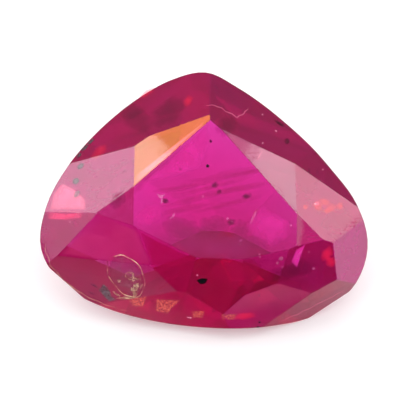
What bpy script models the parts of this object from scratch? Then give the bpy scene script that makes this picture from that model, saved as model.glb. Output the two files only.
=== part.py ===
"""A small ruby, cut as a rounded triangle (a short, wide pear) with an irregular mixed cut.

Metres, +Z up.  The stone is first drawn in its own frame, in millimetres: girdle plane at
zero, table facing up, tip toward +Y.  The facets are ground one after the other, each from
its line of the cutting chart.  The stone is then laid on its broad lower pavilion facet, with
the table leaning toward -Y, and scaled to metres.
"""
import math

import bmesh
import bpy
from mathutils import Matrix, Vector

MM = 0.001

# Driving dimensions, in millimetres and degrees.
TABLE_HEIGHT = 0.74          # table above the girdle plane
PREFORM_DEPTH = 2.4          # blank below the girdle plane, deeper than any pavilion facet
GIRDLE_LOW = -0.20           # mean height of the lower edge of the girdle
REST_SLOPE = 42.0            # slope of the broad pavilion facet that the stone lies on
GIRDLE_SIDES = 120           # flats around the ground girdle
MERGE_DISTANCE = 0.002       # corners closer than this are one corner

# Reach of the girdle from the centre, every 15 degrees from +X (right) through +Y (tip).
GIRDLE_REACH = (
    2.53, 2.20, 2.01, 1.92, 1.935, 2.04,
    2.22, 2.18, 2.125, 2.135, 2.23, 2.415,
    2.66, 2.855, 2.72, 2.42, 2.19, 2.07,
    2.05, 2.135, 2.33, 2.62, 2.825, 2.81,
)

# Cutting chart of the crown: name, azimuth of the facet's normal, slope from the girdle plane,
# and how far from the centre the facet's plane crosses the height of the table.
CROWN_FACETS = (
    ("tip_left", 129.7, 42.6, 1.121),
    ("tip_centre", 126.4, 42.3, 1.115),
    ("tip_right", 50.3, 42.3, 1.139),
    ("shoulder_right", 43.0, 40.8, 1.197),
    ("star_left", 131.1, 35.8, 1.019),
    ("bezel_left", 135.0, 37.6, 1.064),
    ("table_side_left", 178.6, 9.4, 1.195),
    ("end_left", 198.7, 30.4, 1.593),
    ("bezel_lower_left", 235.2, 27.8, 0.964),
    ("base_left", 243.6, 23.9, 0.850),
    ("base_centre", 268.0, 24.2, 0.873),
    ("base_right", 281.9, 24.4, 1.003),
    ("bezel_lower_right", 294.4, 28.0, 1.238),
    ("table_side_right", 359.7, 6.0, 1.512),
    ("end_right", 340.3, 48.5, 2.105),
    ("bezel_right", 38.2, 32.3, 1.103),
    ("star_right", 41.8, 30.3, 1.036),
    ("break_left", 238.9, 30.9, 0.996),
    ("break_centre", 253.3, 41.1, 1.182),
    ("break_right", 284.6, 34.0, 1.213),
    ("edge_right", 297.2, 60.0, 1.860),
)

# Cutting chart of the pavilion: name, azimuth, slope, and how far from the centre the facet's
# plane crosses the lower edge of the girdle.
PAVILION_FACETS = (
    ("rest", 270.0, REST_SLOPE, 2.06),
    ("keel_left", 222.0, 44.0, 2.46),
    ("keel_right", 315.0, 44.0, 2.72),
    ("side_left", 184.0, 40.0, 2.80),
    ("side_right", 352.0, 41.0, 2.82),
    ("tip_left", 116.0, 31.0, 2.24),
    ("tip_right", 64.0, 31.0, 2.16),
    ("flat_left", 160.0, 27.0, 2.78),
    ("flat_right", 20.0, 33.0, 2.50),
    ("window", 88.0, 23.0, 3.00),
)


def catmull_rom(before, start, end, after, t):
    """Cubic through four evenly spaced values: passes start at t = 0 and end at t = 1."""
    return 0.5 * (
        2 * start
        + (end - before) * t
        + (2 * before - 5 * start + 4 * end - after) * t * t
        + (3 * start - before - 3 * end + after) * t * t * t
    )


def girdle_reach(turn):
    """Reach of the girdle in millimetres; turn runs from 0 to 1 around the stone."""
    count = len(GIRDLE_REACH)
    step = int(turn * count)
    four = [GIRDLE_REACH[(step + k) % count] for k in (-1, 0, 1, 2)]
    return catmull_rom(*four, turn * count - step)


def preform():
    """The blank before faceting: the girdle's plan, straight up to the table's height."""
    bm = bmesh.new()
    ring = bmesh.ops.create_circle(bm, cap_ends=True, radius=1.0, segments=GIRDLE_SIDES)
    for vert in ring["verts"]:
        turn = math.atan2(vert.co.y, vert.co.x) / math.tau % 1.0
        vert.co *= girdle_reach(turn)
        vert.co.z = -PREFORM_DEPTH
    raised = bmesh.ops.extrude_face_region(bm, geom=bm.faces[:])
    top = [v for v in raised["geom"] if isinstance(v, bmesh.types.BMVert)]
    bmesh.ops.translate(bm, verts=top, vec=(0.0, 0.0, PREFORM_DEPTH + TABLE_HEIGHT))
    bmesh.ops.recalc_face_normals(bm, faces=bm.faces[:])
    return bm


def grind(bm, point, normal):
    """Grinds one flat: takes off everything beyond the plane and closes the stone again."""
    cut = bmesh.ops.bisect_plane(
        bm,
        geom=bm.verts[:] + bm.edges[:] + bm.faces[:],
        dist=1e-6,
        plane_co=point,
        plane_no=normal,
        clear_outer=True,
    )
    rim = [e for e in cut["geom_cut"] if isinstance(e, bmesh.types.BMEdge)]
    if rim:
        bmesh.ops.contextual_create(bm, geom=rim)


def facet_plane(azimuth, slope, reach, height, side):
    """Point and outward normal of a facet; side is +1 on the crown and -1 on the pavilion."""
    a = math.radians(azimuth)
    s = math.radians(slope)
    out = Vector((math.cos(a), math.sin(a), 0.0))
    point = out * reach + Vector((0.0, 0.0, height))
    normal = out * math.sin(s) + Vector((0.0, 0.0, side * math.cos(s)))
    return point, normal


def cut_stone():
    """The finished stone in its own frame, in millimetres."""
    bm = preform()
    for _, azimuth, slope, reach in CROWN_FACETS:
        grind(bm, *facet_plane(azimuth, slope, reach, TABLE_HEIGHT, 1))
    for _, azimuth, slope, reach in PAVILION_FACETS:
        grind(bm, *facet_plane(azimuth, slope, reach, GIRDLE_LOW, -1))
    bmesh.ops.remove_doubles(bm, verts=bm.verts[:], dist=MERGE_DISTANCE)
    bmesh.ops.dissolve_degenerate(bm, dist=MERGE_DISTANCE * 0.5, edges=bm.edges[:])
    bmesh.ops.recalc_face_normals(bm, faces=bm.faces[:])
    return bm


def lay_down(bm):
    """Turns the stone onto its rest facet and sets it on the floor, centred on the origin."""
    bm.transform(Matrix.Rotation(math.radians(REST_SLOPE), 4, "X"))
    low = [min(v.co[k] for v in bm.verts) for k in range(3)]
    high = [max(v.co[k] for v in bm.verts) for k in range(3)]
    shift = Vector((-(low[0] + high[0]) / 2, -(low[1] + high[1]) / 2, -low[2]))
    bmesh.ops.translate(bm, verts=bm.verts[:], vec=shift)
    bmesh.ops.scale(bm, verts=bm.verts[:], vec=(MM, MM, MM))
    return shift


def ruby_material():
    """Clear red corundum: transmission and index of refraction only."""
    material = bpy.data.materials.new("ruby_crystal")
    material.use_nodes = True
    shader = material.node_tree.nodes["Principled BSDF"]
    shader.inputs["Base Color"].default_value = (0.62, 0.02, 0.16, 1.0)
    shader.inputs["Roughness"].default_value = 0.03
    shader.inputs["IOR"].default_value = 1.77
    shader.inputs["Transmission Weight"].default_value = 1.0
    material.diffuse_color = (0.62, 0.02, 0.16, 1.0)
    return material


def clear_scene():
    """Removes the objects that the file opens with."""
    for item in list(bpy.data.objects):
        bpy.data.objects.remove(item, do_unlink=True)


def build():
    """Makes the one solid, the stone, in a collection of its own."""
    clear_scene()
    parts = bpy.data.collections.new("Ruby")
    bpy.context.scene.collection.children.link(parts)
    bm = cut_stone()
    lay_down(bm)
    mesh = bpy.data.meshes.new("ruby")
    bm.to_mesh(mesh)
    bm.free()
    stone = bpy.data.objects.new("ruby", mesh)
    stone.data.materials.append(ruby_material())
    parts.objects.link(stone)


build()
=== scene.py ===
# A small faceted ruby lying on its lower pavilion facet, table toward the viewer.
import math

import bmesh
import bpy
import numpy as np
from mathutils import Matrix


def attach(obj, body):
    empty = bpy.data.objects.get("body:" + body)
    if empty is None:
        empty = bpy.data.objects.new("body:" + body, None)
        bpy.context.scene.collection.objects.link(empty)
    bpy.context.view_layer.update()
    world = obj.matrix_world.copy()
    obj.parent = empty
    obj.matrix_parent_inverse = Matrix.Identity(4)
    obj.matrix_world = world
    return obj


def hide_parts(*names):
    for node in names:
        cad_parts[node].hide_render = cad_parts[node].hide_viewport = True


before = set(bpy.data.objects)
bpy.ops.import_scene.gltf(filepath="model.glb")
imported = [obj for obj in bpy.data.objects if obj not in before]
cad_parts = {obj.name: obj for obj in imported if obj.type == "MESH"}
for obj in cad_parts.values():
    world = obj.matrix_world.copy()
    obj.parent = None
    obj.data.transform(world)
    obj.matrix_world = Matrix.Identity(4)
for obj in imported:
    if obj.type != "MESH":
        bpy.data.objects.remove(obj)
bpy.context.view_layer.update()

mm = 0.001
refraction = 1.77  # index of ruby
nearZero = 1e-30  # keeps a division from failing
grazing = 1e-6  # cosine under which a facet doesn't face a sight line
pieceWeld = 2e-8  # metres, points of a piece in the crystal that are closer are one

# Directions of the cut stone
cutFrame = {
    "restSlope": 42.0,  # degrees between the girdle plane and the facet that it lies on
    "tableHeight": 0.74,  # millimetres above the girdle plane
    "tipReach": 2.22,  # millimetres from the centre to the tip
    "leftReach": 2.7625,  # millimetres from the centre to the left end
    "smallestFacet": 0.003,  # square millimetres; the normals of slivers are not true
}


def cutDirections(settings):
    # right, tipward and table directions in the world, from the slope it rests at
    a = math.radians(settings["restSlope"])
    right = np.array([1.0, 0.0, 0.0])
    tipward = np.array([0.0, math.cos(a), math.sin(a)])
    outward = np.array([0.0, -math.sin(a), math.cos(a)])
    return right, tipward, outward


right, tipward, outward = cutDirections(cutFrame)


def meshArrays(obj):
    # corners of every vertex and the vertex numbers of every triangle
    data = obj.data
    points = np.empty(len(data.vertices) * 3)
    data.vertices.foreach_get("co", points)
    data.calc_loop_triangles()
    tris = np.empty(len(data.loop_triangles) * 3, dtype=np.int64)
    data.loop_triangles.foreach_get("vertices", tris)
    return points.reshape(-1, 3), tris.reshape(-1, 3)


def facetPlanes(points, tris, smallest):
    # each facet once: outward unit normal and distance from the origin, from the cross product
    # of two sides of its triangles
    a, b, c = points[tris[:, 0]], points[tris[:, 1]], points[tris[:, 2]]
    cross = np.cross(b - a, c - a)
    area = np.linalg.norm(cross, axis=1) / 2
    normal = cross / np.maximum(area[:, None] * 2, nearZero)
    offset = (normal * a).sum(1)
    key = np.round(np.column_stack([normal, offset / mm]), 3)
    _, back = np.unique(key, axis=0, return_inverse=True)
    total = np.bincount(back.ravel(), weights=area)
    kept = np.flatnonzero(total > smallest * mm * mm)
    first = np.array([np.flatnonzero(back.ravel() == i)[0] for i in kept])
    return normal[first], offset[first]


points, tris = meshArrays(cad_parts["ruby"])
planeNormals, planeOffsets = facetPlanes(points, tris, cutFrame["smallestFacet"])
cutOrigin = (
    outward * ((points @ outward).max() - cutFrame["tableHeight"] * mm)
    + tipward * ((points @ tipward).max() - cutFrame["tipReach"] * mm)
    + right * (points[:, 0].min() + cutFrame["leftReach"] * mm)
)
print("facets", len(planeNormals), "cut frame origin", cutOrigin)


def fromCut(u, v, w):
    # a place in the stone's own frame, in millimetres, as a world place in metres
    return cutOrigin + (right * u + tipward * v + outward * w) * mm


def standAt(obj, side, up, out, place):
    # puts a camera or a light at place, with side, up and out as its axes
    bpy.context.scene.collection.objects.link(obj)
    turn = np.eye(4)
    turn[:3] = np.column_stack([side, up, out, place])
    obj.matrix_world = Matrix(turn.tolist())


# Camera
cameraSet = {
    "frameWidth": 6.667,  # millimetres across the picture at the crown
    "lens": 360.0,
    "sensor": 36.0,
    "clip": (0.01, 100.0),  # shares of the camera's distance
    "centre": (-0.083, 0.083, 0.35),  # what the middle of the picture shows, cut frame
    "pictureSide": 400,
}


def makeCamera(settings):
    # looks straight down on the table, with the tip up in the picture
    data = bpy.data.cameras.new("camera")
    data.lens = settings["lens"]
    data.sensor_width = settings["sensor"]
    distance = settings["frameWidth"] * mm * settings["lens"] / settings["sensor"]
    data.clip_start, data.clip_end = (distance * share for share in settings["clip"])
    obj = bpy.data.objects.new("camera", data)
    place = fromCut(*settings["centre"]) + outward * distance
    standAt(obj, right, tipward, outward, place)
    bpy.context.scene.camera = obj
    return place


eye = makeCamera(cameraSet)
print("camera", eye)


def sightRay(x, y):
    # direction from the camera through a place in the picture, counted in picture points
    side = cameraSet["pictureSide"]
    spread = cameraSet["sensor"] / cameraSet["lens"] / side
    way = -outward + right * (x - side / 2) * spread + tipward * (side / 2 - y) * spread
    return way / np.linalg.norm(way)


def surfaceUnder(x, y):
    # where a sight line meets the convex stone: the last of the planes facing it
    way = sightRay(x, y)
    facing = planeNormals @ way
    front = facing < -grazing
    far = (planeOffsets[front] - planeNormals[front] @ eye) / facing[front]
    pick = np.argmax(far)
    return eye + way * far[pick], planeNormals[front][pick], way


def insideUnder(x, y, depth):
    # a place inside the stone that shows at x, y: the sight line bent by Snell's law, then
    # followed for depth millimetres
    place, normal, way = surfaceUnder(x, y)
    cosIn = -normal @ way
    ratio = 1 / refraction
    cosOut = math.sqrt(1 - ratio * ratio * (1 - cosIn * cosIn))
    bent = way * ratio + normal * (ratio * cosIn - cosOut)
    return place + bent * depth * mm, normal


# Shader words
class Value:
    # one socket of a node tree; arithmetic on it adds Math nodes
    def __init__(self, kit, socket):
        self.kit, self.socket = kit, socket

    def math(self, operation, first, second=None):
        return self.kit.node("ShaderNodeMath", {"operation": operation}, {0: first, 1: second})

    def __add__(self, other):
        return self.math("ADD", self, other)

    def __mul__(self, other):
        return self.math("MULTIPLY", self, other)

    def __sub__(self, other):
        return self.math("SUBTRACT", self, other)

    def __rsub__(self, other):
        return self.math("SUBTRACT", other, self)

    def __abs__(self):
        return self.math("ABSOLUTE", self)

    __radd__, __rmul__ = __add__, __mul__

    def between(self, low, high, start=0.0, end=1.0):
        # moves low..high onto start..end, with soft ends
        return self.kit.node(
            "ShaderNodeMapRange",
            {"interpolation_type": "SMOOTHSTEP"},
            {"Value": self, "From Min": low, "From Max": high, "To Min": start, "To Max": end},
        )

    def beside(self, name):
        # another output of the same node
        return Value(self.kit, self.socket.node.outputs[name])


class NodeKit:
    # the nodes of a material or a world
    def __init__(self, owner):
        owner.use_nodes = True
        self.tree = owner.node_tree

    def node(self, kind, settings=None, sockets=None, out=0):
        made = self.tree.nodes.new(kind)
        for key, value in (settings or {}).items():
            setattr(made, key, value)
        for key, value in (sockets or {}).items():
            if value is not None:
                self.join(value, made.inputs[key])
        return Value(self, made.outputs[out])

    def join(self, value, socket):
        # a link, a number or a colour; a colour of three numbers is made solid
        if isinstance(value, Value):
            self.tree.links.new(value.socket, socket)
        elif socket.type == "RGBA" and len(value) == 3:
            socket.default_value = (*value, 1.0)
        else:
            socket.default_value = value


class Finish(NodeKit):
    # a material and its nodes
    inputs = {
        "colour": "Base Color",
        "roughness": "Roughness",
        "normal": "Normal",
        "alpha": "Alpha",
        "glow": "Emission Color",
        "glowStrength": "Emission Strength",
        "index": "IOR",
        "clear": "Transmission Weight",
        "specular": "Specular IOR Level",
    }

    def __init__(self, name):
        self.material = bpy.data.materials.new(name)
        super().__init__(self.material)

    def set(self, **sockets):
        shader = self.tree.nodes["Principled BSDF"]
        for key, value in sockets.items():
            self.join(value, shader.inputs[self.inputs[key]])

    def kept(self, name):
        # a number kept with the mesh
        return self.node("ShaderNodeAttribute", {"attribute_name": name}, out="Fac")

    def place(self):
        # object coordinates, in metres
        return self.node("ShaderNodeTexCoord", out="Object")

    def noise(self, size, detail=3.0, roughness=0.5, stretch=(1, 1, 1), turn=(0, 0, 0), seed=0.0):
        # soft noise whose features are about size millimetres across
        scale = tuple(1 / (size * mm * s) for s in stretch)
        shift = (seed, seed * 0.7, seed * 1.3)
        mapped = self.node(
            "ShaderNodeMapping",
            {},
            {"Vector": self.place(), "Scale": scale, "Rotation": turn, "Location": shift},
        )
        return self.node(
            "ShaderNodeTexNoise",
            {"noise_dimensions": "3D"},
            {"Vector": mapped, "Scale": 1.0, "Detail": detail, "Roughness": roughness},
            out="Fac",
        )

    def blend(self, factor, first, second):
        return self.node(
            "ShaderNodeMix", {"data_type": "RGBA"}, {0: factor, 6: first, 7: second}, out=2
        )

    def bump(self, height, strength, distance, after=None):
        return self.node(
            "ShaderNodeBump",
            {},
            {"Height": height, "Strength": strength, "Distance": distance * mm, "Normal": after},
        )


# The stone
stoneLook = {
    "weld": 2e-7,  # metres, corners closer than this are one
    "flatAngle": 0.4,  # degrees, triangles that differ less are one facet
    "edgeWear": 0.011,  # millimetres, width of the worn facet edges
    "wearSteps": 2,
    "wearAngle": 4.5,  # degrees, blunter edges are not worn
    "girdleTilt": 0.03,  # how far a girdle flat may lean, as a cosine
    "absorbed": (85.0, 2100.0, 470.0),  # per metre, for red, green and blue
    "tint": (1.0, 0.955, 0.975),
    "rosyTint": (0.985, 0.90, 0.95),
    "girdleTint": (0.93, 0.72, 0.80),
    "tintClouds": {"size": 0.7, "detail": 3.0, "roughness": 0.55, "seed": 5.0},
    "polish": 0.012,  # roughness of a polished facet
    "smears": {"size": 0.35, "detail": 4.0, "roughness": 0.6, "seed": 1.3},
    "smearSpan": (0.52, 0.75),
    "smearRoughness": 0.02,
    "girdleRoughness": 0.34,
    # heights of the fine relief, as shares, and how strong and how deep (millimetres) it is
    "polishLines": {
        "size": 0.035,
        "detail": 2.0,
        "roughness": 0.6,
        "stretch": (14, 1, 1),
        "turn": (0, 0, 0.35),
    },
    "polishLineHeight": 0.1,
    "slowWaves": {"size": 0.9, "detail": 2.0, "roughness": 0.45, "seed": 3.1},
    "slowWaveHeight": 0.75,
    "facetRelief": (0.35, 0.006),
    "girdleGrain": {"size": 0.018, "detail": 4.0, "roughness": 0.7, "seed": 7.7},
    "girdleRelief": (0.8, 0.01),
}


def makeStone(settings):
    # a merged copy of the solid, its coplanar triangles joined to facets, every edge worn a little
    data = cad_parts["ruby"].data.copy()
    data.name = "cutStone"
    work = bmesh.new()
    work.from_mesh(data)
    bmesh.ops.remove_doubles(work, verts=work.verts[:], dist=settings["weld"])
    flat = math.radians(settings["flatAngle"])
    bmesh.ops.dissolve_limit(
        work, angle_limit=flat, verts=work.verts[:], edges=work.edges[:], delimit=set()
    )
    bmesh.ops.recalc_face_normals(work, faces=work.faces[:])
    work.normal_update()
    band = work.faces.layers.float.new("girdleBand")
    for face in work.faces:
        tilt = abs(np.dot(np.array(face.normal), outward))
        face[band] = 1.0 if tilt < settings["girdleTilt"] else 0.0
    work.to_mesh(data)
    work.free()
    for polygon in data.polygons:
        polygon.use_smooth = False
    made = bpy.data.objects.new("cutStone", data)
    bpy.context.scene.collection.objects.link(made)
    wear = made.modifiers.new("wornEdges", "BEVEL")
    wear.width = settings["edgeWear"] * mm
    wear.segments = settings["wearSteps"]
    wear.limit_method = "ANGLE"
    wear.angle_limit = math.radians(settings["wearAngle"])
    wear.use_clamp_overlap = True
    return made


def stoneFinish(settings):
    # clear crystal with its colour inside, polished facets and a ground girdle
    f = Finish("rubyCrystal")
    girdle = f.kept("girdleBand")
    polishLines = f.noise(**settings["polishLines"])
    slowWaves = f.noise(**settings["slowWaves"])
    ground = f.noise(**settings["girdleGrain"])
    smear = f.noise(**settings["smears"]).between(*settings["smearSpan"])
    facetRoughness = smear * settings["smearRoughness"] + settings["polish"]
    roughness = facetRoughness * (1 - girdle) + girdle * settings["girdleRoughness"]
    facetHeight = slowWaves * settings["slowWaveHeight"] + polishLines * settings["polishLineHeight"]
    facetBump = f.bump(facetHeight, *settings["facetRelief"])
    girdleBump = f.bump(ground * girdle, *settings["girdleRelief"], facetBump)
    rosy = f.blend(f.noise(**settings["tintClouds"]), settings["tint"], settings["rosyTint"])
    colour = f.blend(girdle, rosy, settings["girdleTint"])
    f.set(colour=colour, roughness=roughness, normal=girdleBump, index=refraction, clear=1.0)
    strongest = max(settings["absorbed"])
    passed = tuple(1 - a / strongest for a in settings["absorbed"])
    depth = f.node("ShaderNodeVolumeAbsorption", {}, {"Color": passed, "Density": strongest})
    f.join(depth, f.tree.nodes["Material Output"].inputs["Volume"])
    return f.material


stone = makeStone(stoneLook)
stone.data.materials.clear()
stone.data.materials.append(stoneFinish(stoneLook))
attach(stone, "root")
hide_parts("ruby")
print("stone made,", len(stone.data.polygons), "facets and girdle flats")


# Shapes of what lies in the crystal
def gridFaces(rows, columns, wrapRows, start):
    # the quads between neighbouring rows and columns of a grid that closes across its columns
    r = np.arange(rows if wrapRows else rows - 1)
    i, j = np.meshgrid(r, np.arange(columns), indexing="ij")
    a = i * columns + j
    b = i * columns + (j + 1) % columns
    d = ((i + 1) % rows) * columns + j
    e = ((i + 1) % rows) * columns + (j + 1) % columns
    return (np.stack([a, b, e, d], -1).reshape(-1, 4) + start).tolist()


def addPiece(name, grids, finish, values=None, wrapRows=False):
    # grids of points as one mesh at the origin, riding on the stone; values are kept per point,
    # and fade is how solid the piece is there
    faces, start = [], 0
    for grid in grids:
        rows, columns = grid.shape[:2]
        faces += gridFaces(rows, columns, wrapRows, start)
        start += rows * columns
    points = np.concatenate([grid.reshape(-1, 3) for grid in grids])
    data = bpy.data.meshes.new(name)
    data.from_pydata(points.tolist(), [], faces)
    values = {"fade": np.ones(len(points))} | (values or {})
    for key, row in values.items():
        layer = data.attributes.new(key, "FLOAT", "POINT")
        layer.data.foreach_set("value", np.ravel(row).astype(np.float32))
    data.materials.append(finish)
    work = bmesh.new()
    work.from_mesh(data)
    bmesh.ops.remove_doubles(work, verts=work.verts[:], dist=pieceWeld)
    bmesh.ops.recalc_face_normals(work, faces=work.faces[:])
    work.to_mesh(data)
    work.free()
    for polygon in data.polygons:
        polygon.use_smooth = True
    obj = bpy.data.objects.new(name, data)
    bpy.context.scene.collection.objects.link(obj)
    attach(obj, "root")


def faceAxes(normal, turn):
    # two directions in a facet, turned by so many degrees, and its normal
    first = np.cross(tipward, normal)
    first = first / np.linalg.norm(first)
    second = np.cross(normal, first)
    c, s = math.cos(math.radians(turn)), math.sin(math.radians(turn))
    return np.stack([first * c + second * s, second * c - first * s, normal])


def ringWaves(turn, terms, power=1):
    # sines around a ring, added up: each term is a size, waves in one turn and where they start
    return sum(size * np.sin(count * turn + start) ** power for size, count, start in terms)


def grain(centre, axes, sizes, phase, lumps=0.12, rows=13, columns=20):
    # a rounded grain: a sphere stretched along three axes, its radius varied by low waves
    lat = np.linspace(-math.pi / 2, math.pi / 2, rows)[:, None]
    lon = np.linspace(0, 2 * math.pi, columns, endpoint=False)[None, :]
    unit = np.stack([np.cos(lat) * np.cos(lon), np.cos(lat) * np.sin(lon), np.sin(lat) + 0 * lon], -1)
    wave = 1 + lumps * (
        np.sin(3 * lon + phase) * np.cos(lat) ** 2
        + 0.6 * np.sin(5 * lon + 2.1 * phase) * np.cos(lat) ** 3
        + 0.7 * np.sin(4 * lat + phase) * np.cos(lat)
    )
    return centre + (unit * wave[..., None] * np.array(sizes) * mm) @ axes


def flake(centre, axes, sizes, thickness, ragged, ripple=0.0, phase=0.0, rows=14, columns=48):
    # a thin lens: a disc in polar coordinates with a ragged rim, top and bottom drawn apart by
    # the root of one less the radius squared, and its middle rippled; rows is even
    across = np.linspace(-1, 1, rows)[:, None]
    lon = np.linspace(0, 2 * math.pi, columns, endpoint=False)[None, :]
    radius = 1 - np.abs(across)
    rim = 1 + ragged * ringWaves(lon, ((0.6, 2, phase), (0.45, 5, 1.7 * phase), (0.3, 9, 0)))
    x = radius * rim * np.cos(lon)
    y = radius * rim * np.sin(lon)
    wave = ripple * (np.sin(5.1 * x + phase) * np.cos(4.3 * y + phase))
    z = wave + np.sign(across) * thickness * np.sqrt(np.clip(1 - radius**2, 0, 1))
    return centre + (np.stack([x * sizes[0], y * sizes[1], z], -1) * mm) @ axes


def flakeFade(hard, rows=14, columns=48):
    # how solid a flake is, from its middle (1) to its rim (0): one less the radius to a power
    radius = 1 - np.abs(np.linspace(-1, 1, rows))
    return np.repeat(1 - radius[:, None] ** hard, columns, 1).ravel()


def tube(path, radii, sides=8):
    # a round section carried along a path; where its radius is nothing it closes to a point
    along = np.gradient(path, axis=0)
    along /= np.maximum(np.linalg.norm(along, axis=1, keepdims=True), nearZero)
    side = np.cross(along, outward)
    side /= np.maximum(np.linalg.norm(side, axis=1, keepdims=True), nearZero)
    up = np.cross(side, along)
    turn = np.linspace(0, 2 * math.pi, sides, endpoint=False)[None, :, None]
    ring = np.cos(turn) * side[:, None, :] + np.sin(turn) * up[:, None, :]
    return path[:, None, :] + ring * radii[:, None, None] * mm


def thinSheet(corners, normal, depth, thickness, columns=72):
    # a closed thin lens under a facet: rings drawn from its middle to its rim, r from 0 to 1,
    # its two sides apart by the root of one less r squared
    middle = corners.mean(0)
    closed = np.vstack([corners, corners[:1]])
    steps = np.concatenate([[0], np.cumsum(np.linalg.norm(np.diff(closed, axis=0), axis=1))])
    t = np.linspace(0, steps[-1], columns, endpoint=False)
    rim = np.stack([np.interp(t, steps, closed[:, k]) for k in range(3)], -1)
    rings = np.array([0, 0.16, 0.32, 0.48, 0.64, 0.8, 0.92, 0.98])
    radius = np.concatenate([rings, [1], rings[::-1]])
    side = np.sqrt(np.clip(1 - radius**2, 0, 1)) * thickness
    side[: len(rings)] *= -1
    sheet = middle + (rim - middle)[None] * radius[:, None, None]
    sheet = sheet - normal * ((depth + side) * mm)[:, None, None]
    return sheet, np.repeat(radius[:, None], columns, 1)


# Finishes of what lies in the crystal. Mottle is the noise of its tones, from a dark one to a
# light one, and span the part of the noise that counts. Solid is how opaque it is in its dark
# tone and how much more so in its light one. Glow is painted light: the piece shines by itself
# in its own tone, in place of light that comes back from behind.
filmLooks = {
    # painted light: the pale grains and pale streaks glow by themselves
    "pale": {
        "name": "paleGrainPaintedGlow",
        "mottle": {"size": 0.03},
        "span": (0.3, 0.7),
        "tones": ((1.0, 0.62, 0.80), (1.0, 0.92, 0.97)),
        "solid": (0.45, 0.4),
        "surface": {"roughness": 0.35, "glowStrength": 0.35},
    },
    # painted light: the gold rim and creases of the halo and the girdle line glow by themselves
    "gold": {
        "name": "paleGoldRimPaintedGlow",
        "mottle": {"size": 0.12, "detail": 4.0, "roughness": 0.7},
        "span": (0.34, 0.66),
        "tones": ((0.62, 0.40, 0.25), (0.85, 0.78, 0.48)),
        "solid": (0.22, 0.62),
        "surface": {"roughness": 0.35, "glowStrength": 0.24},
    },
    "film": {
        "name": "paleFilm",
        "mottle": {"size": 0.12, "detail": 5.0, "roughness": 0.65},
        "span": (0.4, 0.8),
        "tones": ((0.50, 0.16, 0.30), (0.90, 0.70, 0.78)),
        "solid": (0.12, 0.34),
        "surface": {"roughness": 0.3},
    },
    "grey": {
        "name": "greyFilm",
        "mottle": {"size": 0.15, "detail": 4.0, "roughness": 0.6},
        "span": (0.25, 0.7),
        "tones": ((0.20, 0.20, 0.27), (0.50, 0.47, 0.50)),
        "solid": (0.35, 0.45),
        "surface": {"roughness": 0.5, "specular": 0.0},
    },
    "shade": {
        "name": "darkFilm",
        "mottle": {"size": 0.08, "detail": 4.0, "roughness": 0.6},
        "span": (0.25, 0.75),
        "tones": ((0.03, 0.004, 0.02), (0.03, 0.004, 0.02)),
        "solid": (0.2, 0.5),
        "surface": {"roughness": 0.5, "specular": 0.0},
    },
    # painted light: the warm patches glow by themselves
    "warm": {
        "name": "warmFilmPaintedGlow",
        "mottle": {"size": 0.03, "roughness": 0.6, "stretch": (1, 4, 1), "turn": (0, 0, 0.5)},
        "span": (0.3, 0.7),
        "tones": ((0.62, 0.05, 0.11), (0.86, 0.26, 0.19)),
        "solid": (0.4, 0.35),
        "surface": {"roughness": 0.6, "specular": 0.0, "glowStrength": 0.34},
    },
}
# Painted light and shade: soft films that glow by themselves. Each has a name, dark tone, light
# tone, glow and how dense it is. The red, rose, blush and hot pink flashes and the milky and grey
# veils are painted light, the dim and deep crimson veils painted shade, and the silk streaks and
# pale feathers are fine marks lit by a painted glow.
paintedGlowLooks = {
    # painted light: red flashes
    "red": ("redFlash", (0.72, 0.004, 0.06), (0.85, 0.02, 0.12), 0.55, 0.42),
    # painted light: rose flashes
    "rose": ("roseFlash", (0.74, 0.03, 0.40), (0.85, 0.06, 0.52), 0.62, 0.55),
    # painted light: pink flashes
    "blush": ("blushFlash", (0.95, 0.19, 0.38), (1.0, 0.24, 0.46), 0.60, 0.60),
    # painted light: a milky glow that lightens the lower left facet
    "milky": ("milkyPaintedGlow", (0.58, 0.040, 0.20), (0.64, 0.050, 0.23), 0.52, 0.42),
    # painted light: hot pink flashes
    "hot": ("hotPinkFlash", (0.95, 0.05, 0.24), (1.0, 0.09, 0.32), 0.60, 0.70),
    # painted shade: dim crimson veils that darken parts of the tip and base
    "dim": ("dimPaintedShade", (0.16, 0.0, 0.04), (0.22, 0.002, 0.06), 0.20, 0.30),
    # painted light: grey veils that glow over the table
    "veil": ("greyPaintedGlow", (0.34, 0.02, 0.14), (0.44, 0.04, 0.22), 0.42, 0.42),
    # silk streaks, lit by a painted glow
    "streak": ("silkStreakPaintedGlow", (0.34, 0.0, 0.07), (0.46, 0.004, 0.14), 0.40, 0.20),
    # painted shade: deep crimson veils
    "deep": ("deepPaintedShade", (0.42, 0.0, 0.055), (0.50, 0.0, 0.085), 0.50, 0.55),
    # pale feathers, fine cracks lit by a painted glow
    "feather": ("paleFeatherPaintedGlow", (0.62, 0.12, 0.28), (0.80, 0.26, 0.42), 0.50, 0.70),
}
paintedGlowShared = {
    "mottle": {"size": 0.30, "detail": 4.0, "roughness": 0.6},
    "span": (0.25, 0.75),
    "solid": (0.65, 0.35),
    "roughness": 0.8,
}
darkLook = {
    "mottle": {"size": 0.02},
    "tones": ((0.004, 0.003, 0.006), (0.02, 0.012, 0.03)),
    "roughness": (0.5, 0.3),  # least, and how much more
}


def darkCrystal(look):
    # a nearly black grain, a little uneven
    f = Finish("darkCrystal")
    mottle = f.noise(**look["mottle"])
    low, more = look["roughness"]
    f.set(colour=f.blend(mottle, *look["tones"]), roughness=mottle * more + low, specular=0.0)
    return f.material


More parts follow.
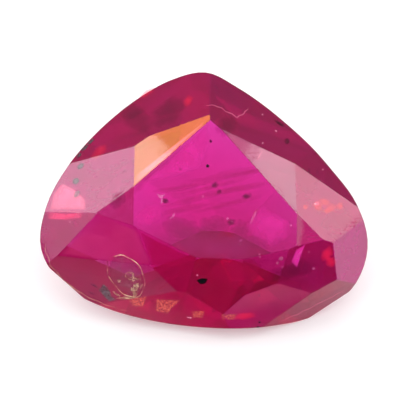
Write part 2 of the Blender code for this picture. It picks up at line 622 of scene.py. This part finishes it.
def filmFinish(look):
    # one noise gives both the tone and how solid it is, and the piece's own fade thins its rim
    f = Finish(look["name"])
    mottle = f.noise(**look["mottle"]).between(*look["span"])
    tone = f.blend(mottle, *look["tones"])
    low, more = look["solid"]
    f.set(colour=tone, alpha=(mottle * more + low) * f.kept("fade"), **look["surface"])
    # painted light: a finish with a glow strength shines by itself in its own tone
    if "glowStrength" in look["surface"]:
        f.set(glow=tone)
    return f.material


def paintedGlowFinish(shared, name, deep, light, glow, dense):
    # a self-glowing film of painted light and shade; the rows above give only what differs between them
    surface = {"roughness": shared["roughness"], "specular": 0.0, "glowStrength": glow}
    solid = tuple(part * dense for part in shared["solid"])
    own = {"name": name, "tones": (deep, light), "solid": solid, "surface": surface}
    return filmFinish(shared | own)


finishes = {"dark": darkCrystal(darkLook)}
finishes |= {key: filmFinish(look) for key, look in filmLooks.items()}
finishes |= {key: paintedGlowFinish(paintedGlowShared, *look) for key, look in paintedGlowLooks.items()}
print("finishes made", sorted(finishes))

# Silk and painted glow: a faint haze of fine needles close under the facets that shines by
# itself as painted light. For each facet, a place in the picture that lies on it, how dense the
# haze is, how rosy (0 crimson, 1 pink), how bright its painted light is.
silkAndGlow = {
    "depth": 0.018,  # millimetres below the facet
    "thickness": 0.004,
    "sameFacet": 0.9995,  # cosine between normals that belong to one facet
    "tableFade": (-0.75, -0.25),  # tipward millimetres where the haze under the table thins out
    "tableClear": 0.82,  # share of it that is gone above that
    "crimson": (0.55, 0.0, 0.07),
    "pink": (0.60, 0.012, 0.36),
    # painted light: how strongly the haze shines by itself
    "glow": 0.55,
    "clouds": {"size": 0.55, "detail": 3.0, "roughness": 0.55, "seed": 2.2},
    "cloudSpan": (0.25, 0.75, 0.66, 1.0),
    "needles": {"size": 0.05, "roughness": 0.6, "stretch": (9, 1, 1), "turn": (0, 0, 0.35), "seed": 4.0},
    "needleSpan": (0.3, 0.7, 0.90, 1.0),
    "facets": {
        "bezelLeft": (95, 178, 0.72, 0.6, 0.95),
        "bezelRight": (318, 195, 0.75, 0.48, 0.95),
        "starLeft": (160, 150, 0.32, 0.4, 0.8),
        "starRight": (262, 160, 0.6, 0.6, 0.85),
        "endRight": (348, 245, 0.75, 0.74, 0.88),
        "endLeft": (58, 235, 0.7, 0.5, 0.85),
        "tipLeft": (112, 125, 0.58, 0.33, 0.76),
        "tipCentre": (165, 110, 0.58, 0.33, 0.76),
        "tipRight": (262, 115, 0.62, 0.42, 0.58),
        "shoulderRight": (330, 165, 0.6, 0.42, 0.58),
        "breakRight": (290, 295, 0.55, 0.42, 0.8),
        "breakLeft": (85, 262, 0.42, 0.35, 0.7),
        "bezelLowerLeft": (110, 240, 0.62, 0.36, 0.8),
        "bezelLowerRight": (318, 270, 0.4, 0.55, 0.66),
        "baseRight": (262, 275, 0.4, 0.2, 0.55),
        "baseCentre": (215, 275, 0.34, 0.18, 0.66),
        "baseLeft": (160, 262, 0.4, 0.2, 0.8),
        "breakCentre": (180, 305, 0.42, 0.18, 0.9),
        "tableSideRight": (306, 236, 0.6, 0.55, 1.0),
        "tableSideLeft": (122, 210, 0.5, 0.25, 0.8),
        "edgeRight": (332, 298, 0.45, 0.35, 0.55),
        "table": (215, 240, 0.36, 0.62, 0.88),
    },
}


def facetLoops():
    # normal, corners and area of every facet of the stone
    found = []
    for polygon in stone.data.polygons:
        corners = np.array([stone.data.vertices[i].co for i in polygon.vertices])
        found.append((np.array(polygon.normal), corners, polygon.area))
    return found


def silkAndGlowFinish(settings):
    # a haze that glows by itself as painted light, its brightness set facet by facet, its density
    # broken by soft clouds and fine needles
    f = Finish("silkHazeAndPaintedGlow")
    cloud = f.noise(**settings["clouds"]).between(*settings["cloudSpan"])
    needles = f.noise(**settings["needles"]).between(*settings["needleSpan"])
    tone = f.blend(f.kept("rosy"), settings["crimson"], settings["pink"])
    tone = f.blend(f.kept("paintedBrightness"), (0, 0, 0), tone)
    f.set(colour=tone, roughness=0.8, specular=0.0, glow=tone, glowStrength=settings["glow"])
    f.set(alpha=f.kept("dense") * cloud * needles)
    return f.material


def silkAndGlowPieces(settings):
    # one thin sheet under each facet; under the table it thins out toward the tip by a soft step
    loops = facetLoops()
    sheets, values = [], {"dense": [], "rosy": [], "paintedBrightness": []}
    low, high = settings["tableFade"]
    for name, (x, y, density, rosy, paintedBrightness) in settings["facets"].items():
        _, under, _ = surfaceUnder(x, y)
        normal, corners, _ = max(
            loops, key=lambda loop: (loop[0] @ under > settings["sameFacet"]) * loop[2]
        )
        sheet, radius = thinSheet(corners, normal, settings["depth"], settings["thickness"])
        dense = np.full(radius.shape, density)
        if name == "table":
            along = ((sheet - cutOrigin) @ tipward / mm - low) / (high - low)
            along = np.clip(along, 0, 1)
            dense = dense * (1 - along * along * (3 - 2 * along) * settings["tableClear"])
        sheets.append(sheet)
        values["dense"].append(dense.ravel())
        values["rosy"].append(np.full(radius.size, rosy))
        values["paintedBrightness"].append(np.full(radius.size, paintedBrightness))
    joined = {key: np.concatenate(rows) for key, rows in values.items()}
    addPiece("silkHazeAndPaintedGlow", sheets, silkAndGlowFinish(settings), joined)


silkAndGlowPieces(silkAndGlow)
print("silk under", len(silkAndGlow["facets"]), "facets")

# The disc inclusion low on the left: a healed feather with a pale gold rim around a small
# bubble; the rim and its creases glow by themselves as painted light.
# Waves are given as size, number in one turn and start.
haloDisc = {
    "centre": (126.2, 275.4),  # where it shows in the picture
    "depth": 0.012,
    "radii": (0.295, 0.405),  # millimetres
    "turn": 22.0,
    "steps": 120,
    "rimWaves": ((0.035, 3, 0.6), (0.022, 7, 0.0)),
    "rimBend": 0.02,  # millimetres in and out of its plane
    "rimThickness": 0.008,
    "rimThin": 0.55,
    "rimBulges": ((0.6, 1, 2.2), (0.25, 9, 0.0)),
    "bubble": (130.0, 275.8),
    "bubbleDepth": 0.0108,
    "bubbleRadius": 0.070,
    "bubbleWaves": ((0.1, 3, 0.0),),
    "bubbleThickness": 0.009,
    "bubbleBulges": ((0.003, 5, 0.0),),
    "coreShare": (0.55, 0.6, 1.0),
    "coreShift": (0.012, 0.004, 0.0),
    "coreThickness": 0.005,
    "filmShare": 0.97,
    "filmThickness": 0.003,
    "filmRagged": 0.02,
    "crease": {"thickness": 0.006, "ragged": 0.3, "ripple": 0.012, "rows": 8, "columns": 24},
    "creaseDepth": 0.012,
    "creasePhase": 1.3,
    # x and y in the picture, two half sizes, turn
    "creases": {
        "knotUpper": (136.0, 287.0, 0.09, 0.06, 40.0),
        "knotLower": (133.5, 291.5, 0.075, 0.04, 110.0),
        "knotRight": (141.5, 286.0, 0.055, 0.02, 60.0),
        "foldLow": (126.0, 298.0, 0.19, 0.024, 4.0),
        "foldLeft": (116.5, 294.0, 0.1, 0.02, -40.0),
        "foldRight": (135.0, 295.5, 0.08, 0.03, 40.0),
        "fleckLeft": (119.0, 281.0, 0.032, 0.036, 10.0),
        "fleckRight": (137.5, 279.0, 0.06, 0.018, -10.0),
        "fleckMiddle": (133.5, 280.5, 0.04, 0.014, 30.0),
    },
}


def haloPieces(settings):
    # tubes carried round three wavy loops, creases that are small rippled flakes, and one flake
    # that fills the rim
    centre, normal = insideUnder(*settings["centre"], settings["depth"])
    axes = faceAxes(normal, settings["turn"])
    turn = np.linspace(0, 2 * math.pi, settings["steps"], endpoint=False)
    wavy = 1 + ringWaves(turn, settings["rimWaves"])
    wide, tall = settings["radii"]
    bend = settings["rimBend"] * np.sin(2 * turn)
    loop = np.stack([wide * wavy * np.cos(turn), tall * wavy * np.sin(turn), bend], -1)
    bulges = settings["rimThin"] + ringWaves(turn, settings["rimBulges"], power=2)
    rim = tube(centre + loop * mm @ axes, settings["rimThickness"] * bulges)
    innerAt, _ = insideUnder(*settings["bubble"], settings["bubbleDepth"])
    small = np.stack([np.cos(turn), np.sin(turn), 0 * turn], -1) * settings["bubbleRadius"]
    small[:, 0] *= 1 + ringWaves(turn, settings["bubbleWaves"])
    width = settings["bubbleThickness"] + ringWaves(turn, settings["bubbleBulges"])
    bubble = tube(innerAt + small * mm @ axes, width)
    inner = small * np.array(settings["coreShare"]) + np.array(settings["coreShift"])
    core = tube(innerAt + inner * mm @ axes, np.full(len(turn), settings["coreThickness"]))
    addPiece("haloRim", [rim, bubble, core], finishes["gold"], wrapRows=True)
    creases = []
    for i, (x, y, a, b, lean) in enumerate(settings["creases"].values()):
        at, n = insideUnder(x, y, settings["creaseDepth"])
        phase = i * settings["creasePhase"]
        creases.append(flake(at, faceAxes(n, lean), (a, b), phase=phase, **settings["crease"]))
    addPiece("haloCreases", creases, finishes["gold"])
    sizes = np.array(settings["radii"]) * settings["filmShare"]
    film = flake(centre, axes, sizes, settings["filmThickness"], settings["filmRagged"])
    addPiece("haloFilm", [film], finishes["film"])


haloPieces(haloDisc)
print("halo disc with", len(haloDisc["creases"]), "creases")

# Grains and needles: x and y in the picture, depth, three half sizes, turn.
grains = {
    "dark": {
        "baseCrystal": (202.3, 281.0, 0.01, 0.08, 0.05, 0.008, 8),
        "bezelDot": (324.0, 203.0, 0.1, 0.026, 0.026, 0.02, 0),
        "needleUpper": (94.0, 285.5, 0.04, 0.07, 0.018, 0.02, -32),
        "needleLower": (91.5, 293.0, 0.04, 0.075, 0.02, 0.02, -28),
        "tableDotLeft": (180.4, 169.1, 0.35, 0.022, 0.026, 0.02, 0),
        "tableDotMiddle": (207.6, 166.0, 0.3, 0.024, 0.026, 0.02, 0),
        "tableDotHigh": (210.6, 141.2, 0.3, 0.02, 0.028, 0.02, 20),
        "edgeDotUpper": (259.5, 322.0, 0.03, 0.022, 0.02, 0.02, 0),
        "edgeDotLower": (258.0, 327.0, 0.02, 0.022, 0.016, 0.02, 0),
    },
    # pale grains, lit by a painted glow
    "pale": {
        "starBody": (161.0, 196.5, 0.35, 0.04, 0.026, 0.02, 10),
        "starStem": (161.8, 200.5, 0.35, 0.012, 0.05, 0.02, -6),
        "starArmLeft": (158.6, 195.0, 0.33, 0.03, 0.01, 0.01, -35),
        "starArmRight": (164.0, 195.0, 0.33, 0.026, 0.008, 0.01, 40),
        "commaBody": (173.3, 215.5, 0.45, 0.016, 0.042, 0.02, -28),
        "commaTail": (171.0, 218.0, 0.45, 0.024, 0.01, 0.01, 25),
        "tableDot": (227.6, 218.6, 0.4, 0.022, 0.02, 0.02, 0),
        "baseGrain": (281.0, 258.5, 0.3, 0.04, 0.032, 0.02, 30),
        "baseGrainSmall": (277.5, 263.0, 0.3, 0.026, 0.018, 0.02, 60),
        "endGrain": (313.6, 268.5, 0.3, 0.024, 0.02, 0.02, 0),
        "bezelGrain": (324.5, 190.9, 0.1, 0.018, 0.014, 0.01, 0),
        "veilGrain": (241.0, 240.6, 0.5, 0.03, 0.02, 0.02, 35),
        "tableFleck": (203.0, 196.5, 0.4, 0.012, 0.016, 0.01, 0),
        "starFacetFleck": (260.3, 156.8, 0.2, 0.012, 0.034, 0.01, -28),
        "starFacetDot": (279.5, 174.8, 0.2, 0.018, 0.014, 0.01, 0),
        "baseFleck": (260.0, 257.0, 0.25, 0.016, 0.012, 0.01, 0),
        "windowFleck": (291.0, 225.5, 0.35, 0.012, 0.018, 0.01, 0),
        "baseDot": (197.3, 275.2, 0.25, 0.018, 0.018, 0.01, 0),
        "edgeLens": (189.5, 317.5, 0.03, 0.05, 0.016, 0.01, -8),
        "bezelFleck": (322.0, 181.0, 0.06, 0.01, 0.012, 0.01, 0),
        "shoulderFleck": (288.0, 150.0, 0.08, 0.01, 0.014, 0.01, 0),
        "tipFleckHigh": (262.5, 114.5, 0.008, 0.012, 0.01, 0.006, 0),
        "tipFleckRight": (276.0, 131.0, 0.008, 0.01, 0.018, 0.006, 30),
        "tipFleckLow": (262.8, 143.0, 0.008, 0.014, 0.008, 0.006, 0),
        "shoulderDot": (323.0, 169.5, 0.008, 0.01, 0.01, 0.006, 0),
        "tableFleckRight": (232.0, 221.5, 0.3, 0.01, 0.008, 0.006, 0),
        "veilFleckRight": (240.5, 244.5, 0.1, 0.012, 0.01, 0.006, 0),
        "veilFleckLeft": (188.0, 232.0, 0.3, 0.01, 0.008, 0.006, 0),
        "veilFleckMiddle": (202.5, 240.0, 0.2, 0.008, 0.008, 0.006, 0),
        "tableEdgeFleck": (309.0, 252.0, 0.15, 0.01, 0.016, 0.006, 20),
        "baseFleckRight": (282.0, 267.0, 0.2, 0.01, 0.01, 0.006, 0),
        "bezelDotLow": (315.0, 204.0, 0.006, 0.014, 0.01, 0.004, 0),
        "bezelDotLeft": (98.0, 170.0, 0.006, 0.008, 0.01, 0.004, 0),
        "endDotLeft": (70.0, 222.0, 0.006, 0.008, 0.008, 0.004, 0),
    },
}
grainPhase = 1.7  # so that no two grains of a kind are lumpy in the same way


def grainPieces(settings):
    # one piece of each kind: a grain at each place, lying along the facet over it
    for kind, places in settings.items():
        grids = []
        for i, (x, y, depth, a, b, c, turn) in enumerate(places.values()):
            at, normal = insideUnder(x, y, depth)
            grids.append(grain(at, faceAxes(normal, turn), (a, b, c), i * grainPhase))
        addPiece(kind + "Grains", grids, finishes[kind])


grainPieces(grains)
print("grains", {kind: len(places) for kind, places in grains.items()})

# Films, and glowing flakes of painted light and painted shade: x and y in the picture, depth,
# two half sizes, turn.
films = {
    "grey": {
        "spotUpper": (80.5, 166.2, 0.01, 0.075, 0.068, 10),
        "spotMiddle": (75.9, 181.1, 0.01, 0.068, 0.08, 30),
        "spotLower": (76.2, 195.0, 0.01, 0.072, 0.088, -20),
        "chipUpper": (91.0, 141.5, 0.006, 0.08, 0.04, 50),
        "chipMiddle": (84.5, 148.0, 0.006, 0.09, 0.045, 55),
        "chipLower": (79.0, 155.5, 0.006, 0.075, 0.04, 60),
    },
    # painted light: red flashes, glowing films under the facets that flash red
    "red": {
        "tipLeft": (188.0, 101.0, 0.01, 0.1, 0.13, 20),
        "lowerEdge": (245.0, 316.0, 0.01, 0.19, 0.09, 10),
        "bezelLeftmost": (318.0, 206.0, 0.01, 0.11, 0.09, 20),
        "bezelUpper": (324.5, 202.0, 0.01, 0.12, 0.08, -20),
        "bezelMiddle": (331.0, 208.0, 0.01, 0.13, 0.07, 30),
        "bezelRightmost": (340.0, 206.0, 0.01, 0.1, 0.06, 40),
        "bezelLower": (327.0, 211.0, 0.01, 0.09, 0.05, 0),
        "bezelInner": (305.5, 207.0, 0.01, 0.06, 0.05, 60),
        "endUpper": (327.0, 254.0, 0.012, 0.11, 0.15, -10),
        "endLower": (331.0, 262.0, 0.012, 0.09, 0.12, 20),
        "shoulderLeft": (99.0, 152.0, 0.01, 0.2, 0.11, 60),
        "tipFarLeft": (147.0, 93.0, 0.01, 0.16, 0.08, 35),
    },
    # painted light: a glowing rose flash in the table
    "rose": {"tableLeft": (150.0, 215.0, 0.40, 0.260, 0.180, 20)},
    # painted light: a glowing pink flash on the right bezel facet
    "blush": {"bezelRight": (317.0, 203.5, 0.008, 0.050, 0.040, 10)},
    "shade": {
        "shoulderSpot": (287.0, 141.0, 0.01, 0.075, 0.06, 20),
        "tipStroke": (279.7, 123.5, 0.01, 0.11, 0.045, -35),
        "tableSpotHigh": (214.8, 184.8, 0.35, 0.075, 0.055, 0),
        "tableSpotLow": (231.0, 222.0, 0.4, 0.085, 0.07, 0),
        "tableSpotLeft": (165.0, 201.0, 0.4, 0.07, 0.055, 0),
        "tableStroke": (219.0, 192.0, 0.35, 0.06, 0.04, 30),
        "tableSpotRight": (247.0, 196.0, 0.4, 0.09, 0.06, 10),
    },
    # painted shade: dim veils over darker parts of the tip, the base and a bezel corner
    "dim": {
        "tipLeft": (167.8, 112.0, 0.01, 0.34, 0.32, 10),
        "tipFarLeft": (136.0, 118.0, 0.01, 0.42, 0.24, -30),
        "tipRight": (226.0, 126.0, 0.01, 0.3, 0.16, 40),
        "baseRight": (300.0, 268.0, 0.015, 0.26, 0.2, 0),
        "baseRightLow": (283.0, 274.0, 0.015, 0.3, 0.16, 20),
        "bezelCorner": (118.0, 200.0, 0.015, 0.2, 0.12, 45),
    },
    # silk streaks in the table, lit by a painted glow
    "streak": {
        "farLeft": (133.0, 190.0, 0.35, 0.42, 0.08, 40),
        "alongStar": (165.0, 163.0, 0.3, 0.56, 0.07, 39),
        "long": (226.0, 176.0, 0.4, 0.95, 0.09, 12),
        "middle": (205.0, 196.0, 0.4, 0.8, 0.07, 14),
        "right": (243.0, 188.0, 0.4, 0.56, 0.06, 12),
        "lowLeft": (185.0, 209.0, 0.4, 0.52, 0.07, 10),
        "lowRight": (228.0, 204.0, 0.4, 0.62, 0.06, 14),
        "left": (178.0, 188.0, 0.4, 0.5, 0.05, 10),
        "thin": (215.0, 186.0, 0.4, 0.7, 0.045, 13),
        "highRight": (250.0, 172.0, 0.4, 0.42, 0.05, 11),
    },
    # painted light: glowing grey veils that lighten the lower table
    "veil": {
        "lowLeft": (200.0, 241.0, 0.02, 0.62, 0.26, -12),
        "lowRight": (236.0, 246.0, 0.02, 0.56, 0.2, 6),
        "middle": (214.0, 226.0, 0.35, 0.3, 0.18, 0),
        "right": (240.0, 232.0, 0.35, 0.16, 0.24, 0),
        "left": (182.0, 228.0, 0.35, 0.36, 0.2, -10),
    },
    # pale streaks, lit by a painted glow
    "pale": {
        "windowStreak": (253.5, 217.0, 0.4, 0.022, 0.15, -22),
        "baseStreak": (298.5, 255.0, 0.3, 0.03, 0.12, -32),
    },
}
filmShape = {"thickness": 0.003, "ragged": 0.16}
filmRims = {"grey": 3.0, "shade": 1.5, "streak": 1.5}  # how hard the rim is where it isn't soft
softRim = 2.0
filmPhase = 2.3  # so that no two films of a kind have the same rim


def filmPieces(settings):
    # one piece of each kind: a flake at each place, lying along the facet over it
    for kind, places in settings.items():
        grids = []
        for i, (x, y, depth, a, b, turn) in enumerate(places.values()):
            at, normal = insideUnder(x, y, depth)
            axes = faceAxes(normal, turn)
            grids.append(flake(at, axes, (a, b), phase=i * filmPhase, **filmShape))
        fade = np.tile(flakeFade(filmRims.get(kind, softRim)), len(grids))
        addPiece(kind + "Films", grids, finishes[kind], {"fade": fade})


filmPieces(films)
print("films", {kind: len(places) for kind, places in films.items()})

# Glints, veils and patches with straight edges: finish, depth, how hard the rim is, and the
# corners in the picture. The glints and glows are painted light where one facet shows through
# another, the deep veils painted shade; the grey patches are films, the warm ones films lit by
# a painted glow.
glints = {
    # painted light: rose flashes where a facet shows bright through another
    "windowFlash": (
        "rose", 0.25, 5.0,
        [(245, 226), (262, 205), (290, 220), (292, 236), (272, 248), (252, 236)],
    ),
    "tipFlash": (
        "rose", 0.25, 5.0,
        [(146, 182), (172, 152), (206, 124), (212, 140), (200, 168), (170, 178)],
    ),
    "rightFlash": ("rose", 0.008, 6.0, [(291, 262), (296, 250), (306, 243), (301, 256), (297, 268)]),
    # painted light: pink and hot pink highlights along the star facet and the left end
    "starStrip": ("blush", 0.006, 6.0, [(134.5, 184), (135, 176), (168, 150), (206, 120.5), (170, 155)]),
    "leftStripe": (
        "hot", 0.012, 3.0,
        [(47, 219), (48, 211.5), (66, 210.5), (84, 212), (82, 218), (64, 220)],
    ),
    "leftCorner": (
        "blush", 0.010, 5.0,
        [(49, 210), (53, 194), (62, 183), (76, 190), (86, 200), (86, 210)],
    ),
    # painted light: a milky glow that lightens the lower left facet
    "lowerLeftGlow": ("milky", 0.012, 12.0, [(98, 213), (137, 230), (151, 264), (122, 263), (60, 254)]),
    "greyPatch": ("grey", 0.008, 5.0, [(98, 290), (103, 283.5), (108, 287), (112, 295), (105, 298)]),
    "greyPatchLow": ("grey", 0.010, 3.0, [(103, 296), (110, 294), (117, 300), (109, 302)]),
    # warm patches, lit by a painted glow
    "warmPatchLeft": ("warm", 0.008, 8.0, [(128, 299), (147, 295.5), (143.5, 307), (132, 306)]),
    "warmPatchCentre": ("warm", 0.008, 8.0, [(156, 299), (181, 300), (172, 308), (168, 314), (155, 311)]),
    "warmPatchRight": ("warm", 0.008, 4.0, [(191, 311), (205, 310.5), (203, 318), (193, 318)]),
    "warmPatchFar": ("warm", 0.008, 3.0, [(221, 314), (238, 313.5), (235, 320), (222, 320)]),
    # painted shade: deep crimson veils that darken the base
    "baseWedge": (
        "deep", 0.024, 8.0,
        [(139, 231), (161, 243), (182, 253), (199, 259), (172, 268), (151, 265)],
    ),
    "lowShade": ("deep", 0.024, 6.0, [(222, 262), (252, 258), (262, 266), (258, 280), (230, 282)]),
}
glintThickness = 0.003


def glintPieces(settings):
    # a thin sheet between its corners, solid in the middle and fading to its rim by one less the
    # radius to a power
    sheets, fades = {}, {}
    for kind, depth, hard, marks in settings.values():
        found = [insideUnder(x, y, depth) for x, y in marks]
        corners = np.array([place for place, _ in found])
        sheet, radius = thinSheet(corners, found[0][1], 0.0, glintThickness)
        sheets.setdefault(kind, []).append(sheet)
        fades.setdefault(kind, []).append((1 - radius**hard).ravel())
    for kind, grids in sheets.items():
        addPiece(kind + "Glints", grids, finishes[kind], {"fade": np.concatenate(fades[kind])})


glintPieces(glints)
print("glints", list(glints))

# Fine cracks and scratches, each a thread that glows by itself as painted light: finish,
# depth, radius, and places in the picture.
threads = {
    "tipFeather": (
        "feather", 0.012, 0.012,
        [(205, 105), (216, 105.5), (226, 111), (237.5, 117.6), (244, 113), (248.2, 108.5)],
    ),
    "rightFeather": ("feather", 0.010, 0.006, [(262, 150), (260, 156), (257, 160)]),
    "windowStreak": ("feather", 0.35, 0.008, [(256.5, 208), (254, 215), (250.6, 226)]),
    "girdleLine": (
        "gold", 0.008, 0.006,
        [(44.5, 240), (46, 252), (50.5, 265), (62, 279), (79, 292), (96, 301), (114, 307.5), (128, 311.5)],
    ),
    "lowerEdge": (
        "feather", 0.010, 0.006,
        [(345, 289.5), (334, 296), (322, 301.8), (308, 309), (294.5, 315.5), (280, 321.5)],
    ),
}
threadShape = {
    "steps": 10,  # rings from one place to the next
    "waver": ((0.5, 5.3), (0.4, 7.1)),  # picture points and how fast, across and down
    "margin": 0.002,  # millimetres between a thread and the facet over it
}


def keptInside(path, margin):
    # pushes each point back along the normal of its nearest facet until it is margin
    # millimetres inside the stone
    for _ in range(4):
        over = path @ planeNormals.T - planeOffsets + margin * mm
        worst = over.argmax(1)
        push = np.clip(over[np.arange(len(path)), worst], 0, None)
        path = path - planeNormals[worst] * push[:, None]
    return path


def threadPieces(settings, shape):
    # a tube along a wavering path, its radius the root of a half sine from end to end
    strands = {}
    for kind, depth, radius, marks in settings.values():
        marks = np.array(marks, dtype=float)
        t = np.linspace(0, len(marks) - 1, shape["steps"] * len(marks))
        xs, ys = (
            np.interp(t, np.arange(len(marks)), marks[:, k]) + size * np.sin(t * rate)
            for k, (size, rate) in enumerate(shape["waver"])
        )
        path = np.array([insideUnder(x, y, depth)[0] for x, y in zip(xs, ys)])
        path = keptInside(path, radius + shape["margin"])
        taper = np.clip(np.sin(np.linspace(0, math.pi, len(t))), 0, 1) ** 0.5
        strands.setdefault(kind, []).append(tube(path, radius * taper))
    for kind, grids in strands.items():
        addPiece(kind + "Threads", grids, finishes[kind])


threadPieces(threads, threadShape)
print("threads", list(threads))

# Floor. Facets mirror a share of its light, which is least in front of the stone; distances are
# in millimetres along the floor, toward the viewer negative.
floorLook = {
    "size": 400.0,
    "gap": 0.02,  # between the stone and the floor
    "pale": (0.90, 0.895, 0.90),
    "grain": 0.985,  # share of the pale tone in the darker grains
    "grains": {"size": 0.4, "detail": 3.0, "roughness": 0.6},
    "glow": 0.20,
    "glowColour": (1, 0.99, 1),
    "mirroredSides": 1.0,
    "mirroredNear": 0.32,
    "mirroredFar": 0.04,
    "frontBegins": (-2.5, 0.5),
    "frontSpread": 0.45,  # how fast the front narrows to the sides
    "farToNear": (-9.0, -4.5),
    "footBegins": (-3.8, -2.6),  # close to the stone
    "footShare": 0.2,
}


def makeFloor(settings):
    # a flat square, one grid cell
    half = settings["size"] / 2 * mm
    low = -settings["gap"] * mm
    corners = [(-half, -half, low), (half, -half, low), (half, half, low), (-half, half, low)]
    data = bpy.data.meshes.new("floor")
    data.from_pydata(corners, [], [(0, 1, 2, 3)])
    obj = bpy.data.objects.new("floor", data)
    bpy.context.scene.collection.objects.link(obj)
    f = Finish("paleFloor")
    glossy = f.node("ShaderNodeLightPath", out="Is Glossy Ray")
    mirrored = glossy * (1 - glossy.beside("Is Transmission Ray"))
    across = f.node("ShaderNodeSeparateXYZ", {}, {0: f.place()})
    x, y = across * (1 / mm), across.beside("Y") * (1 / mm)
    front = (y + abs(x) * settings["frontSpread"]).between(*settings["frontBegins"], 1.0, 0.0)
    far = y.between(*settings["farToNear"], settings["mirroredFar"], settings["mirroredNear"])
    far = far * y.between(*settings["footBegins"], 1.0, settings["footShare"])
    share = front * (far - settings["mirroredSides"]) + settings["mirroredSides"]
    dim = mirrored * (share - 1) + 1
    darker = tuple(part * settings["grain"] for part in settings["pale"])
    tone = f.blend(f.noise(**settings["grains"]), settings["pale"], darker)
    f.set(colour=f.blend(dim, (0, 0, 0), tone), roughness=0.9, specular=0.1)
    f.set(glow=f.blend(dim, (0, 0, 0), settings["glowColour"]), glowStrength=settings["glow"])
    data.materials.append(f.material)


makeFloor(floorLook)

# Light
# Each soft light stands where a facet mirrors it: the facet, as the table of silk and painted
# glow names it, distance, width and length in millimetres, brightness seen in a mirror, and colour.
softLights = {
    "keyLeft": ("bezelLeft", 70.0, 9.5, 9.5, 2.6, (1.0, 0.97, 0.99)),
    "starLeft": ("starLeft", 68.0, 5.0, 5.0, 5.4, (1.0, 0.43, 0.02)),
    "keyRight": ("bezelRight", 70.0, 8.0, 8.0, 2.5, (1.0, 0.96, 0.90)),
    "starRight": ("starRight", 66.0, 12.0, 8.0, 1.1, (0.98, 0.96, 1.0)),
    "endLeft": ("endLeft", 60.0, 8.0, 8.0, 1.1, (0.98, 0.96, 1.0)),
    "tableSideRight": ("tableSideRight", 60.0, 6.0, 6.0, 0.9, (1.0, 0.97, 0.98)),
}
lightsFace = (0, 0, 0.4)  # what they all face, cut frame
worldLook = {
    "colour": (1.0, 0.995, 1.0),
    "seen": 1.0,
    "onFloor": 1.2,
    "mirroredLow": 0.035,
    "mirroredHigh": 0.22,
    "rise": (0.1, 0.5),  # from low to high, as the height of a direction
    "through": 0.50,
}


def makeLight(name, facet, distance, width, tall, brightness, colour):
    # an area light that lies along the camera's axis as the facet mirrors it: twice the facet's
    # normal by its share along the axis, less the axis; its power is the brightness of its face
    # times its area and pi
    x, y = silkAndGlow["facets"][facet][:2]
    _, normal, _ = surfaceUnder(x, y)
    way = 2 * (normal @ outward) * normal - outward
    data = bpy.data.lights.new(name, "AREA")
    data.shape = "RECTANGLE"
    data.size, data.size_y = width * mm, tall * mm
    data.energy = brightness * math.pi * width * tall * mm * mm
    data.color = colour
    obj = bpy.data.objects.new(name, data)
    obj.visible_camera = False
    side = np.cross(outward, way)
    side /= np.linalg.norm(side)
    standAt(obj, side, np.cross(way, side), way, fromCut(*lightsFace) + way * distance * mm)


def makeWorld(settings):
    # even pale surroundings: one brightness behind the stone, one for the floor, a dimmer one
    # for what comes through the crystal and, rising with height, for what facets mirror
    world = bpy.data.worlds.new("studio")
    bpy.context.scene.world = world
    kit = NodeKit(world)
    seen = kit.node("ShaderNodeLightPath", out="Is Camera Ray")
    way = kit.node("ShaderNodeTexCoord", out="Generated")
    height = kit.node("ShaderNodeSeparateXYZ", {}, {0: way}, out="Z")
    mirrored = height.between(*settings["rise"], settings["mirroredLow"], settings["mirroredHigh"])
    strength = (
        seen * settings["seen"]
        + seen.beside("Is Diffuse Ray") * settings["onFloor"]
        + seen.beside("Is Glossy Ray") * mirrored
        + seen.beside("Is Transmission Ray") * settings["through"]
    )
    back = kit.tree.nodes["Background"]
    kit.join(strength, back.inputs["Strength"])
    kit.join(settings["colour"], back.inputs["Color"])


for name, values in softLights.items():
    makeLight(name, *values)
makeWorld(worldLook)
scene = bpy.context.scene
scene.view_settings.view_transform = "Standard"
scene.cycles.max_bounces = 28
scene.cycles.transmission_bounces = 28
scene.cycles.glossy_bounces = 20
scene.cycles.diffuse_bounces = 4
scene.cycles.transparent_max_bounces = 24
scene.cycles.sample_clamp_indirect = 8.0
print("floor, lights and world made")
